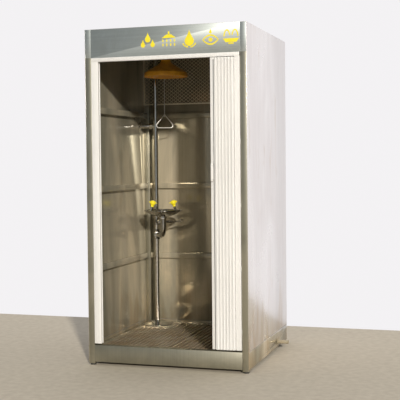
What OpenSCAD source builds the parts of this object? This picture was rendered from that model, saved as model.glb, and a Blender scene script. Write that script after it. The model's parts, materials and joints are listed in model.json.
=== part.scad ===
// Emergency safety shower: a stainless steel booth with a combined overhead shower
// and eyewash stand in its back left corner, and a folding accordion door.
// Millimetres, +Z up. The origin is on the ground, at the centre of the overall box.
// The doorway faces -Y.

/* [Cabin] */
// Overall width of the cabin
cabin_w = 1090; // [1060:5:1200]
// Overall depth of the cabin
cabin_d = 1112; // [1080:2:1200]
// Overall height of the cabin, feet included
cabin_h = 2200; // [2180:5:2300]
// Side of the square frame tubes
tube = 40; // [38:1:42]
// Wall of the frame tubes
tube_wall = 2; // [1.5:0.5:3]
// Thickness of the steel sheets
sheet_t = 1.5; // [1:0.5:2]
// Height of the header panel above the doorway
header_h = 185; // [180:5:200]
// Height of the sill's top above the ground
sill_top = 133; // [130:1:136]
// Gap between the ground and the lower edge of the sheets
ground_gap = 22; // [18:1:26]
// Underside of the lowest wall girt
girt_first = 605; // [560:5:640]
// Spacing of the wall girts
girt_step = 530; // [500:5:540]
// Depth of a wall girt
girt_d = 25; // [15:5:30]
// Lower edge of the mesh panel in front of the back wall
mesh_z = 1765; // [1750:5:1800]
// Width of one diamond of the mesh
diamond_w = 33; // [28:1:40]
// Height of one diamond of the mesh
diamond_h = 26; // [22:1:32]
// Width of the mesh strands
strand_w = 3.5; // [3:0.5:6]
// Thickness of the mesh strands
strand_t = 0.7; // [0.5:0.1:0.7]

/* [Floor] */
// Height of the top of the floor grating
floor_z = 114; // [110:1:118]
// Spacing of the grating bars
bar_step = 33; // [30:1:36]
// Width of a grating bar
bar_w = 19; // [15:1:22]
// Where the two gratings meet, from the middle to the right
grating_split = -26; // [-60:1:60]
// How far the two pipe stubs stand out of the cabin
stub_out = 80; // [60:5:100]
// Outer diameter of the floor drain pipe
drain_d = 26.9; // [26.9:0.1:33.7]

/* [Door] */
// Distance between the two hinge lines of a slat
slat_w = 85; // [84:0.5:88]
// Length of the folded accordion along the track
stack_len = 115; // [112:1:120]
// Width of the lead post
post_w = 30; // [26:1:34]
// Width of the strike jamb
strike_w = 47.5; // [40:0.5:55]
// Width of the hinge jamb
hinge_jamb_w = 32.5; // [28:0.5:36]
// Depth of the jambs and the track
jamb_d = 36; // [34:1:40]
// Distance from the cabin's front to the middle of the track
door_set_back = 12; // [10:1:20]

/* [Plumbing] */
// Outer diameter of the standpipe
pipe_d = 33.7; // [33.7:0.1:35]
// Wall of the pipes
pipe_wall = 2.6; // [2:0.2:3.2]
// Distance from the cabin's middle to the standpipe, to the left
pipe_left = 418; // [400:1:425]
// Distance from the cabin's front to the standpipe
pipe_back = 983; // [960:1:990]
// Turn of the shower and bowl away from the front
unit_angle = 33; // [20:1:45]
// Height of the eyewash bowl's rim
bowl_z = 982; // [960:1:1000]
// Radius of the eyewash bowl
bowl_r = 141; // [130:1:150]
// Distance from the standpipe to the middle of the bowl
bowl_reach = 215; // [205:1:230]
// Height of the shower head's rim
head_z = 1940; // [1900:5:1950]
// Radius of the shower head
head_r = 155; // [130:1:160]
// Distance from the standpipe to the middle of the shower head
head_reach = 345; // [330:1:370]
// Height of the shower arm
arm_z = 2130; // [2120:1:2140]
// Length of the shower valve's lever
pull_lever = 67; // [60:1:75]

/* [Hidden] */
$fn = 48;

steel = [0.62, 0.62, 0.60];
dark_steel = [0.42, 0.42, 0.38];
bright_steel = [0.80, 0.80, 0.79];
pvc_white = [0.95, 0.93, 0.88];
shower_yellow = [0.93, 0.62, 0.10];
cap_yellow = [0.93, 0.90, 0.20];
black_rubber = [0.12, 0.12, 0.12];

fine = 96;
eps = 0.01;

// Cabin planes
nose_r = 5;
full_slats = 10;
slat_count = full_slats + 2;
fold_pitch = stack_len / (full_slats + 1);
fold_half = slat_w / 2 * sin(acos(fold_pitch / slat_w));
nose_proud = fold_half + nose_r - door_set_back;
y_front = (nose_proud - cabin_d) / 2;
y_back = y_front + cabin_d;
x_side = cabin_w / 2;
x_frame = x_side - sheet_t;
x_inner = x_frame - tube;
yf_frame = y_front + sheet_t;
yf_inner = yf_frame + tube;
yb_frame = y_back - sheet_t;
yb_inner = yb_frame - tube;
z_roof = cabin_h - sheet_t;
header_z = cabin_h - header_h;
foot_h = 10;
foot_r = 19;
rail_z = 50;
tray_z = rail_z + tube;
seam = 1;
seat = 0.2;
mesh_border = 10;
ledge = 42;
tray_lift = 0.2;
plinth = 260;
nut_t = 8;

// Door planes
packer = 4;
door_y = y_front + door_set_back;
jamb_x = x_inner - packer;
strike_x = -jamb_x + strike_w;
hinge_face = jamb_x - hinge_jamb_w;
hinge_x = hinge_face - 6;
track_h = 24;
track_top = header_z - 2;
track_z = track_top - track_h;
track_wall = 2;
track_slot = 8;
jamb_z = sill_top + 12;
slat_z = jamb_z + 5;
slat_top = track_z - 7;
fold_gap = 0.4;
slat_t = fold_pitch - 2 * fold_gap;
bead_r = 3;
bead_play = 0.1;
skin = 1.2;
pivot_r = 2.5;
pivot_play = 0.05;
post_x = hinge_x - stack_len - 6 - post_w;
// Door pull, at elbow height on the lead post's front
pull_z = 1210;
pull_len = 110;

// Plumbing
pipe_x = -pipe_left;
pipe_y = y_front + pipe_back;
pipe_r = pipe_d / 2;
drain_r = drain_d / 2;
drain_x = 330;
drain_y = y_front + 800;
drain_z = 60;
sump_r = 45;
fitting_r = pipe_r + 5;
waste_z = 795;
waste_half = 38;
waste_r = 21.2;
waste_bend_r = 80;
eyewash_z = 893;
eyewash_half = 28;
inlet_z = 1605;
inlet_half = 38;
inlet_branch = 45;
branch_r = 10.65;
valve_reach = 120;
riser_reach = 165;
yoke_z = bowl_z - 7;
yoke_half = 93;
yoke_r = 8;
nozzle_tilt = 15;
nozzle_lift = 35;
shower_valve_reach = 48;
rod_side = 42;
arm_r = 13.5;
arm_bend = 34;
arm_drop = 8;
elbow_drop = 30;
handle_top = 1681;
handle_drop = 98;
handle_half = 82;
wire_r = 3;
handle_bend = 7;
pivot_z = handle_top - handle_bend;
pivot_pin_r = 3.4;
eye_r = 8;
eye_z = pivot_z + 9;

module block(lo, hi) {
  translate(lo) cube(hi - lo);
}

// A square tube between two corners, open along axis 0 (X), 1 (Y) or 2 (Z)
module square_tube(lo, hi, axis, wall = tube_wall) {
  inset = [for (i = [0:2]) i == axis ? -1 : wall];
  difference() {
    block(lo, hi);
    block(lo + inset, hi - inset);
  }
}

// A round pipe standing on the XY plane
module pipe(r, h, wall = pipe_wall) {
  difference() {
    cylinder(r = r, h = h);
    translate([0, 0, -1]) cylinder(r = r - wall, h = h + 2);
  }
}

// A quarter bend: starts at the origin heading down, ends heading along +Y
module quarter_bend(r, bend, wall = pipe_wall) {
  translate([0, bend, 0]) rotate([0, 90, 0]) rotate([0, 0, -90])
    rotate_extrude(angle = 90) translate([bend, 0]) difference() {
      circle(r = r);
      circle(r = r - wall);
    }
}

// Children are placed in the shower unit's own frame: the standpipe is its Z axis,
// -Y points out to the user and +X to the user's right when facing the pipe
module unit(reach = 0, side = 0, z = 0) {
  translate([pipe_x, pipe_y, 0]) rotate([0, 0, unit_angle]) translate([side, -reach, z]) children();
}

// ---- Cabin ----

module corner_posts() color(dark_steel) {
  for (x = [-x_frame, x_inner])
    for (y = [yf_frame, yb_inner])
      square_tube([x, y, foot_h], [x + tube, y + tube, z_roof], 2);
}

module frame_rails() color(dark_steel) {
  gap = 0.2;
  for (y = [yf_frame, yb_inner])
    for (z = [rail_z, z_roof - tube])
      square_tube([-x_inner + gap, y, z], [x_inner - gap, y + tube, z + tube], 0);
  for (z = [rail_z, z_roof - tube])
    square_tube([-x_frame, yf_inner + gap, z], [-x_inner, yb_inner - gap, z + tube], 1);
  square_tube([x_inner, yf_inner + gap, z_roof - tube], [x_frame, yb_inner - gap, z_roof], 1);
  difference() {
    square_tube([x_inner, yf_inner + gap, rail_z], [x_frame, yb_inner - gap, rail_z + tube], 1);
    translate([x_inner - 1, drain_y, drain_z]) rotate([0, 90, 0]) cylinder(r = drain_r + 1, h = tube + 2);
  }
  square_tube([-x_inner + gap, yf_frame, header_z], [x_inner - gap, yf_inner, header_z + tube], 0);
}

module wall_girts() color(dark_steel) {
  gap = 0.2;
  for (i = [0:2]) {
    z = girt_first + i * girt_step;
    for (x = [-x_frame, x_frame - girt_d])
      square_tube([x, yf_inner + gap, z], [x + girt_d, yb_inner - gap, z + tube], 1);
    square_tube([-x_inner + gap, yb_frame - girt_d, z], [x_inner - gap, yb_frame, z + tube], 0);
  }
}

module left_wall() color(steel) {
  difference() {
    block([-x_side, y_front, sill_top + seam], [-x_frame, y_back, z_roof]);
    translate([-x_side - 1, pipe_y, inlet_z]) rotate([0, 90, 0]) cylinder(r = pipe_r + 1.5, h = sheet_t + 2);
  }
}

module right_wall() color(steel) {
  block([x_frame, y_front, sill_top + seam], [x_side, y_back, z_roof]);
}

module back_wall() color(steel) {
  block([-x_frame, yb_frame, sill_top + seam], [x_frame, y_back, z_roof]);
}

// One layer of parallel flat strands, leaning to one side, in the XY plane
module strand_layer(lo, hi, side) {
  lean = side * atan2(diamond_h, diamond_w);
  span = hi - lo;
  lines = ceil((span.x / diamond_w + span.y / diamond_h) / 2) + 1;
  linear_extrude(strand_t) intersection() {
    translate(lo) square(span);
    union() {
      for (i = [-lines:lines])
        translate([i * diamond_w, (lo.y + hi.y) / 2]) rotate(lean)
          square([norm(span), strand_w * cos(lean)], center = true);
    }
  }
}

// Two layers of strands that lean opposite ways make diamonds, held in a flat border;
// the panel lies against the back posts and ends under the side rails
module mesh_panel() color(bright_steel) {
  play = 0.05;
  lo = [-x_frame + 2 * play, mesh_z];
  hi = [x_frame - 2 * play, z_roof - tube - seam];
  border = [mesh_border, mesh_border];
  inset = border + [play, play];
  translate([0, yb_inner - 2 * play, 0]) rotate([90, 0, 0]) {
    linear_extrude(sheet_t) difference() {
      translate(lo) square(hi - lo);
      translate(lo + border) square(hi - lo - 2 * border);
    }
    strand_layer(lo + inset, hi - inset, 1);
    translate([0, 0, strand_t + play]) strand_layer(lo + inset, hi - inset, -1);
  }
}

module roof_panel() color(steel) {
  block([-x_side, y_front, z_roof], [x_side, y_back, cabin_h]);
}

// The front plate is folded back along its lower edge, and creased in line with the posts
module header_panel() color(steel) {
  fold = 20;
  crease = 0.5;
  difference() {
    union() {
      block([-x_frame, y_front, header_z], [x_frame, yf_frame - eps, z_roof]);
      block([-x_inner + 1, y_front, header_z - sheet_t], [x_inner - 1, y_front + fold, header_z - eps]);
      block([-x_inner + 1, y_front, header_z - sheet_t], [x_inner - 1, yf_frame - eps, header_z + 1]);
    }
    for (x = [-x_inner, x_inner])
      block([x - crease, y_front - 1, header_z], [x + crease, y_front + crease, z_roof + 1]);
  }
}

module front_sill() color(dark_steel) {
  x = x_inner - 0.5;
  lip = 18;
  block([-x, y_front, ground_gap], [x, yf_frame - eps, sill_top]);
  block([-x, y_front, sill_top - sheet_t], [x, yf_inner + sheet_t, sill_top]);
  block([-x, yf_inner + eps, sill_top - lip], [x, yf_inner + sheet_t, sill_top]);
  block([-x, y_front, ground_gap], [x, yf_inner, ground_gap + sheet_t]);
}

module base_skirts() color(steel) {
  block([-x_side, y_front, ground_gap], [-x_frame, y_back, sill_top]);
  difference() {
    block([x_frame, y_front, ground_gap], [x_side, y_back, sill_top]);
    translate([x_frame - 1, drain_y, drain_z]) rotate([0, 90, 0]) cylinder(r = drain_r + 1, h = sheet_t + 2);
  }
  block([-x_frame + 0.2, yb_frame, ground_gap], [x_frame - 0.2, y_back, sill_top]);
}

module levelling_feet() color(black_rubber) {
  plug = tube / 2 - tube_wall - 0.1;
  for (x = [-x_frame + tube / 2, x_frame - tube / 2])
    for (y = [yf_frame + tube / 2, yb_frame - tube / 2])
      translate([x, y, 0]) {
        cylinder(r = foot_r, h = foot_h - 1);
        cylinder(r = 5, h = 3 * foot_h);
        translate([-plug, -plug, foot_h + 1]) cube([2 * plug, 2 * plug, 14]);
      }
}

// ---- Floor ----

// A shallow tray with raised ledges round its edge, a plinth for the standpipe and a sump
module floor_tray() color(steel) {
  x = x_frame - 0.5;
  y0 = yf_inner + 2 * sheet_t;
  y1 = yb_frame - 0.5;
  z = tray_z + tray_lift;
  sump_z = drain_z - drain_r - 4;
  difference() {
    union() {
      block([-x, y0, z], [x, y1, z + sheet_t]);
      block([-x, y0, z], [ledge - x, y1, floor_z]);
      block([x - ledge, y0, z], [x, y1, floor_z]);
      block([-x, y1 - ledge, z], [x, y1, floor_z]);
      block([-x, y1 - plinth, z], [plinth - x, y1, floor_z]);
      translate([drain_x, drain_y, sump_z]) cylinder(r = sump_r, h = z + 1 - sump_z);
    }
    for (px = [-x_frame, x_inner])
      block([px - 1, yb_inner - 1, z - 1], [px + tube + 1, yb_frame + 1, floor_z + 1]);
    translate([drain_x, drain_y, sump_z + 2]) cylinder(r = sump_r - 2, h = 2 * tube);
    translate([drain_x, drain_y, drain_z]) rotate([0, 90, 0]) cylinder(r = drain_r + 0.05, h = sump_r + 5);
  }
}

// Flat bars along Y on cross bars; bars that start left of notch_x stop at the plinth
module grating(x0, x1, notch_x) {
  bar_h = 8;
  cross_w = 12;
  edge_gap = 4;
  cross_z = tray_z + tray_lift + sheet_t;
  y0 = yf_inner + 2 * edge_gap;
  y1 = yb_frame - ledge - edge_gap;
  notch_y = yb_frame - plinth - edge_gap;
  last = floor((x1 - x0 - bar_w) / bar_step);
  start = (x0 + x1 - last * bar_step - bar_w) / 2;
  end = start + last * bar_step + bar_w;
  first_long = max(0, ceil((notch_x - start) / bar_step));
  for (i = [0:last])
    translate([start + i * bar_step, 0, floor_z - bar_h])
      block([0, y0, 0], [bar_w, i < first_long ? notch_y : y1, bar_h]);
  for (y = [y0, (y0 + notch_y - cross_w) / 2, notch_y - cross_w])
    block([start, y, cross_z], [end, y + cross_w, floor_z - bar_h]);
  block([start + first_long * bar_step, y1 - cross_w, cross_z], [end, y1, floor_z - bar_h]);
}

module floor_grating_left() color(steel) {
  grating(ledge - x_frame + 3, grating_split - 3, plinth - x_frame + 4);
}

module floor_grating_right() color(steel) {
  grating(grating_split + 3, x_frame - ledge - 3, -x_frame);
}

// A pipe along X with a lock nut against the cabin's side
module wall_pipe(r, len, nut_at) {
  rotate([0, 90, 0]) difference() {
    union() {
      cylinder(r = r, h = len);
      translate([0, 0, nut_at]) cylinder(r = r + 7, h = nut_t, $fn = 6);
    }
    translate([0, 0, -1]) cylinder(r = r - pipe_wall, h = len + 2);
  }
}

module drain_outlet() color(steel) {
  start = drain_x + sump_r - 6;
  translate([start, drain_y, drain_z])
    wall_pipe(drain_r, x_side + stub_out - start, x_side + seat - start);
}

// ---- Door ----

module door_track() color(pvc_white) {
  half = jamb_d / 2;
  difference() {
    block([-jamb_x, door_y - half, track_z], [jamb_x, door_y + half, track_top]);
    block([-jamb_x - 1, door_y - half + track_wall, track_z + track_wall],
      [jamb_x + 1, door_y + half - track_wall, track_top - track_wall]);
    block([-jamb_x - 1, door_y - track_slot / 2, track_z - 1],
      [jamb_x + 1, door_y + track_slot / 2, track_z + track_wall + 1]);
  }
}

// A hollow jamb with a shallow groove in the face that looks along dir
module jamb(x0, x1, dir) {
  half = jamb_d / 2;
  groove = 3;
  wall = 2;
  face = dir > 0 ? x1 : x0;
  difference() {
    block([x0, door_y - half, jamb_z], [x1, door_y + half, track_z - 0.2]);
    block([x0 + wall + (dir < 0 ? groove : 0), door_y - half + wall, jamb_z - 1],
      [x1 - wall - (dir > 0 ? groove : 0), door_y + half - wall, track_z + 1]);
    block([face - groove, door_y - half / 2, jamb_z - 1], [face + groove, door_y + half / 2, track_z + 1]);
  }
  packer_x = dir > 0 ? x0 - packer + 0.1 : x1;
  for (z = [jamb_z + 100 : 400 : track_z - 100])
    translate([packer_x, door_y - 4, z]) cube([packer - 0.1, 16, 30]);
}

module strike_jamb() color(pvc_white) {
  jamb(-jamb_x, strike_x, 1);
}

// Two hinge plates with pivot pins, above and below the slats, reaching from a face to an axis
module pivot_plates(face_x, axis_x) {
  plate = 3;
  half = 7;
  for (z = [slat_z - plate - 0.5, slat_top + 0.5]) {
    block([min(face_x, axis_x), door_y - half, z], [max(face_x, axis_x), door_y + half, z + plate]);
    translate([axis_x, door_y, z]) cylinder(r = half, h = plate);
  }
  for (z = [slat_z - plate - 0.5, slat_top - 15])
    translate([axis_x, door_y, z]) cylinder(r = pivot_r, h = 15 + plate + 0.5);
}

module hinge_jamb() color(pvc_white) {
  jamb(hinge_face, jamb_x, -1);
  pivot_plates(hinge_face + 5, hinge_x);
}

// A glide that runs in the track: a plug, a thin stem and a round head
module glide() {
  translate([-slat_t / 2 + skin + 0.1, -10, slat_top - 15]) cube([slat_t - 2 * skin - 0.2, 20, 15]);
  translate([0, 0, slat_top - 1]) cylinder(r = 2.5, h = track_z + track_wall + 1 - slat_top + 2);
  translate([0, 0, track_z + track_wall + 1]) cylinder(r = 4.8, h = 4);
}

// Position of hinge line k, from 0 at the jamb to slat_count at the lead post
function fold_x(k) = hinge_x - (k == 0 ? 0 : k == slat_count ? stack_len : (k - 0.5) * fold_pitch);
function fold_side(k) = k == 0 || k == slat_count ? 0 : k % 2 == 1 ? -1 : 1;

// The socket half of a hinge: a ring around the bead, open to the next slat
module socket_ring(side) {
  open_from = 84;
  open_to = 254;
  steps = 4;
  reach = 2 * nose_r;
  function angle(i) = open_from + i * (open_to - open_from) / steps;
  function heading(i) = [cos(angle(i)), sin(angle(i))];
  difference() {
    circle(r = nose_r);
    circle(r = bead_r + bead_play);
    scale([1, -side]) polygon(concat([[0, 0]], [for (i = [0:steps]) reach * heading(i)]));
  }
}

// Cross-section of slat i, around its own middle plane
module slat_profile(i) {
  near = fold_side(i - 1);
  far = fold_side(i);
  middle = i == 1 ? fold_x(1) + fold_pitch / 2 : fold_x(i - 1) - fold_pitch / 2;
  near_x = fold_x(i - 1) - middle;
  far_x = fold_x(i) - middle;
  y0 = min(near, far) * fold_half;
  y1 = max(near, far) * fold_half;
  clear = nose_r + 0.3;
  margin = 8;
  rooms = near * far == 0 ? 1 : 3;
  room = (y1 - y0 - 2 * margin - (rooms - 1) * skin) / rooms;
  difference() {
    union() {
      translate([-slat_t / 2, y0]) square([slat_t, y1 - y0]);
      if (near == 0 || far == 0) circle(r = slat_t / 2);
    }
    if (near != 0) translate([near_x, near * fold_half]) circle(r = clear);
    if (far != 0) translate([far_x, far * fold_half]) circle(r = bead_r + bead_play);
    if (near == 0 || far == 0) circle(r = pivot_r + pivot_play);
    for (j = [0:rooms - 1])
      translate([-slat_t / 2 + skin, y0 + margin + j * (room + skin)]) square([slat_t - 2 * skin, room]);
  }
  if (near != 0) {
    translate([near_x, near * fold_half]) circle(r = bead_r);
    translate([near_x - 1.9, near > 0 ? fold_half - 6.5 : -fold_half]) square([1.5, 6.5]);
  }
  if (far != 0) translate([far_x, far * fold_half]) socket_ring(far);
}

module slat(i) color(pvc_white) {
  middle = i == 1 ? fold_x(1) + fold_pitch / 2 : fold_x(i - 1) - fold_pitch / 2;
  translate([middle, door_y, 0]) {
    translate([0, 0, slat_z]) linear_extrude(slat_top - slat_z) slat_profile(i);
    if (i > 1 && i < slat_count) glide();
  }
}

module lead_post() color(pvc_white) {
  half = jamb_d / 2 - 1;
  wall = 2;
  groove = 3;
  stem_x = post_x + post_w / 2;
  difference() {
    block([post_x, door_y - half, jamb_z + 1], [post_x + post_w, door_y + half, slat_top + 3.5]);
    block([post_x + wall + groove, door_y - half + wall, jamb_z],
      [post_x + post_w - wall, door_y + half - wall, slat_top - 4]);
    block([post_x - 1, door_y + half / 2, jamb_z], [post_x + groove, door_y + half + 1, slat_top + 5]);
  }
  pivot_plates(post_x + post_w - 1, fold_x(slat_count));
  translate([stem_x, door_y, slat_top + 3]) cylinder(r = 2.5, h = track_z + track_wall + 1 - slat_top);
  translate([stem_x, door_y, track_z + track_wall + 1]) cylinder(r = 6, h = 4);
}

// A small bow handle on the front of the lead post
module door_pull() color(pvc_white) {
  front = door_y - jamb_d / 2 + 1;
  w = 14;
  x = post_x + 3;
  depth = 18;
  grip = 6;
  for (z = [pull_z, pull_z + pull_len - w]) block([x, front - depth, z], [x + w, front, z + w]);
  block([x, front - depth, pull_z], [x + w, front - depth + grip, pull_z + pull_len]);
}

// ---- Waste side of the unit ----

module floor_flange() color(bright_steel) {
  flange_r = 112;
  neck = pipe_r + 3;
  rise = 29;
  foot = 5;
  steps = 8;
  spread = flange_r - 8 - neck;
  curve = [for (i = [0:steps])
    [neck + spread * pow(1 - i / steps, 1.25), foot + rise * sin(i * 90 / steps)]];
  translate([pipe_x, pipe_y, floor_z]) difference() {
    rotate_extrude($fn = fine)
      polygon(concat([[0, 0], [flange_r - 1, 0], [flange_r, 3]], curve, [[0, foot + rise]]));
    translate([0, 0, -1]) cylinder(r = pipe_r + 0.05, h = rise + 2 * foot);
    translate([0, 0, -1]) cylinder(r = pipe_r + 30, h = 8);
  }
}

module waste_pipe() color(bright_steel) {
  translate([pipe_x, pipe_y, floor_z + seat]) pipe(pipe_r, waste_z - waste_half - floor_z - 2 * seat);
}

// A tee around the standpipe, with one branch towards dir
module tee(half, r, branch_r, branch_len) {
  collar = 9;
  difference() {
    union() {
      translate([0, 0, -half]) cylinder(r = r, h = 2 * half);
      for (z = [-half, half - collar]) translate([0, 0, z]) cylinder(r = r + 3, h = collar);
      rotate([90, 0, 0]) cylinder(r = branch_r + 5, h = branch_len);
      translate([0, -branch_len + collar, 0]) rotate([90, 0, 0]) cylinder(r = branch_r + 7.5, h = collar);
    }
    translate([0, 0, -half - 1]) cylinder(r = r - 5, h = 2 * half + 2);
    rotate([90, 0, 0]) cylinder(r = branch_r - pipe_wall, h = branch_len + 1);
  }
}

module waste_tee() color(bright_steel) {
  unit(z = waste_z) tee(waste_half, fitting_r, waste_r, 44);
}

module waste_bend() color(bright_steel) {
  top = bowl_z - 62;
  unit(bowl_reach, 0, waste_z + waste_bend_r) {
    quarter_bend(waste_r, waste_bend_r);
    pipe(waste_r, top - waste_z - waste_bend_r);
  }
  unit(bowl_reach - waste_bend_r, 0, waste_z) rotate([-90, 0, 0])
    pipe(waste_r, bowl_reach - waste_bend_r - 44.2);
}

module bowl_drain() color(bright_steel) {
  unit(bowl_reach, 0, bowl_z - 62) difference() {
    union() {
      translate([0, 0, 0.2]) cylinder(r = 27, h = 14, $fn = 8);
      translate([0, 0, 14]) cylinder(r = 18, h = 8);
    }
    translate([0, 0, -1]) cylinder(r = 13, h = 30);
  }
  unit(bowl_reach, 0, bowl_z - 42) difference() {
    cylinder(r = 30, h = 2.5);
    for (a = [0:45:315]) rotate(a) translate([18, 0, -1]) cylinder(r = 3.5, h = 5);
    for (a = [0:120:240]) rotate(a) translate([7, 0, -1]) cylinder(r = 2.5, h = 5);
  }
}

// ---- Supply side of the unit ----

module eyewash_tee() color(bright_steel) {
  unit(z = eyewash_z) tee(eyewash_half, fitting_r, branch_r, 50);
}

// Two lengths of the standpipe, below and above the eyewash branch
module supply_pipe() color(bright_steel) {
  low = [waste_z + waste_half + seat, eyewash_z - eyewash_half - seat];
  high = [eyewash_z + eyewash_half + seat, inlet_z - inlet_half - seat];
  for (span = [low, high])
    unit(z = span[0]) pipe(pipe_r, span[1] - span[0]);
}

module inlet_tee() color(bright_steel) {
  translate([pipe_x, pipe_y, inlet_z]) rotate([0, 0, -90]) tee(inlet_half, fitting_r, pipe_r, inlet_branch);
}

module inlet_pipe() color(bright_steel) {
  start = -x_side - stub_out;
  len = pipe_x - inlet_branch - seat - start;
  translate([start, pipe_y, inlet_z]) wall_pipe(pipe_r, len, stub_out - nut_t - seat);
}

module wall_rosette() color(bright_steel) {
  translate([-x_frame + 0.2, pipe_y, inlet_z]) rotate([0, 90, 0]) difference() {
    rotate_extrude() polygon([[0, 0], [34, 0], [34, 2], [22, 9], [0, 9]]);
    translate([0, 0, -1]) cylinder(r = pipe_r + 0.05, h = 12);
  }
}

module riser_pipe() color(bright_steel) {
  low = inlet_z + inlet_half + seat;
  unit(z = low) pipe(pipe_r, arm_z - elbow_drop - seat - low);
}

module top_elbow() color(bright_steel) {
  r = fitting_r;
  unit(z = arm_z) difference() {
    union() {
      translate([0, 0, -elbow_drop]) cylinder(r = r, h = elbow_drop);
      translate([0, 0, -elbow_drop]) cylinder(r = r + 3, h = 9);
      sphere(r = r);
      rotate([90, 0, 0]) cylinder(r = r - 3, h = 24);
    }
    translate([0, 0, -elbow_drop - 1]) cylinder(r = pipe_r - pipe_wall, h = elbow_drop + 1);
    rotate([90, 0, 0]) cylinder(r = branch_r, h = 30);
  }
}

// ---- Overhead shower ----

// A ball valve body along -Y with its stem boss on +X
module valve_body(r, half, boss) {
  hex_h = 12;
  difference() {
    union() {
      rotate([90, 0, 0]) cylinder(r = r, h = 2 * half - 16, center = true);
      for (s = [-1, 1])
        translate([0, s * (half - hex_h / 2), 0]) rotate([90, 0, 0])
          cylinder(r = r - 3, h = hex_h, center = true, $fn = 6);
      rotate([0, 90, 0]) cylinder(r = 9, h = boss);
    }
    rotate([90, 0, 0]) cylinder(r = r - 9, h = 2 * half + 2, center = true);
    rotate([0, 90, 0]) cylinder(r = 5.05, h = boss + 1);
  }
}

module shower_valve() color(bright_steel) {
  unit(shower_valve_reach, 0, arm_z) valve_body(21, 23.8, 28);
}

// Stem, ball and lever turn together; the lever reaches forward to the pull rod
module shower_valve_lever() color(steel) {
  unit(shower_valve_reach, 0, arm_z) {
    difference() {
      sphere(r = 11.7);
      rotate([0, 90, 0]) translate([0, 0, -20]) cylinder(r = 5, h = 40);
    }
    rotate([0, 90, 0]) cylinder(r = 5, h = rod_side - 6);
    difference() {
      union() {
        translate([rod_side - 9, -pull_lever, -7]) cube([4, pull_lever, 14]);
        translate([rod_side - 9, 0, 0]) rotate([0, 90, 0]) cylinder(r = 11, h = 4);
        translate([rod_side - 9, -pull_lever, 0]) rotate([0, 90, 0]) cylinder(r = 7, h = 4);
      }
      translate([rod_side - 10, -pull_lever, 0]) rotate([0, 90, 0]) cylinder(r = 3.05, h = 6);
    }
  }
}

// A round rod with a hook pin through the lever and a shackle with a pin at its lower end
module pull_rod() color(steel) {
  tuck = 0.6;
  leg_end = 5;
  unit(shower_valve_reach + pull_lever, rod_side, 0) {
    translate([0, 0, eye_z + eye_r - 1]) cylinder(r = wire_r, h = arm_z - eye_z - eye_r + 1);
    translate([-10.5, 0, arm_z]) rotate([0, 90, 0]) cylinder(r = wire_r, h = 13.5);
    translate([0, 0, eye_z]) rotate([90, 0, 90])
      rotate_extrude(angle = 180) translate([eye_r, 0]) circle(r = wire_r + 0.2, $fn = 24);
    for (s = [-1, 1])
      translate([0, s * eye_r, pivot_z - leg_end])
        cylinder(r = wire_r, h = eye_z - pivot_z + leg_end + tuck);
    translate([0, -eye_r - leg_end, pivot_z]) rotate([-90, 0, 0])
      cylinder(r = pivot_pin_r, h = 2 * (eye_r + leg_end));
  }
}

// A triangle of bent wire, hanging from its rounded top corner
module pull_handle() color(steel) {
  base = atan2(handle_drop, handle_half);
  low_r = 18;
  top_r = handle_bend;
  cut = low_r / tan(base / 2);
  top_lift = top_r / cos(base) - top_r;
  top_side = top_r * [sin(base), cos(base)];
  drop = handle_drop - top_lift;
  low = [handle_half - cut, low_r - drop];
  side_start = [low.x + low_r * sin(base), low.y + low_r * cos(base)];
  side_len = norm([side_start.x - top_side.x, side_start.y + top_r - top_side.y]);
  bend_r = wire_r + 0.2;
  tuck = 0.6;
  unit(shower_valve_reach + pull_lever, rod_side, handle_top) rotate([90, 0, 0]) {
    translate([0, -top_r, 0]) rotate(90 - base)
      rotate_extrude(angle = 2 * base) translate([top_r, 0]) circle(r = bend_r, $fn = 24);
    translate([-low.x - tuck, -drop, 0]) rotate([0, 90, 0]) cylinder(r = wire_r, h = 2 * (low.x + tuck));
    for (s = [0, 1]) mirror([s, 0, 0]) {
      translate(low) rotate(-90)
        rotate_extrude(angle = 180 - base) translate([low_r, 0]) circle(r = bend_r, $fn = 24);
      translate(side_start) rotate([0, 90, 180 - base]) translate([0, 0, -tuck])
        cylinder(r = wire_r, h = side_len + 2 * tuck);
    }
  }
}

module shower_arm() color(bright_steel) {
  start = shower_valve_reach + 24;
  unit(start, 0, arm_z) rotate([90, 0, 0]) pipe(arm_r, head_reach - arm_bend - start);
  unit(head_reach, 0, arm_z - arm_bend) mirror([0, 0, 1]) quarter_bend(arm_r, arm_bend);
  unit(head_reach, 0, arm_z - arm_bend - arm_drop) pipe(arm_r, arm_drop);
}

// Height of the bell above its rim at radius r, from a flared neck to a broad skirt
neck_r = 35;
band_h = 28;
dome_h = 84;
bell_h = arm_z - arm_bend - arm_drop - head_z - 0.2;
function bell(t) = [neck_r + (head_r - neck_r) * pow(1 - t, 1.6), band_h + dome_h * pow(t, 0.8)];

module shower_head() color(shower_yellow) {
  steps = 14;
  wall = 3;
  outer = [for (i = [0:steps]) bell(i / steps)];
  inner = [for (i = [steps:-1:0]) bell(i / steps) - [wall, wall + 1]];
  unit(head_reach, 0, head_z) rotate_extrude($fn = fine)
    polygon(concat([[head_r - wall, 0], [head_r - 1, 0], [head_r, 1.5]], outer,
      [[neck_r, bell_h - 8], [neck_r - 8, bell_h], [arm_r, bell_h], [arm_r, bell_h - 14]], inner));
}

module shower_diffuser() color(shower_yellow) {
  unit(head_reach, 0, head_z + 4) difference() {
    cylinder(r = head_r - 3.3, h = 4, $fn = fine);
    for (ring = [1:5])
      for (i = [0:6 * ring - 1])
        rotate(i * 60 / ring) translate([ring * 25, 0, -1]) cylinder(r = 3, h = 6, $fn = 16);
  }
}

// ---- Eyewash ----

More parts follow.
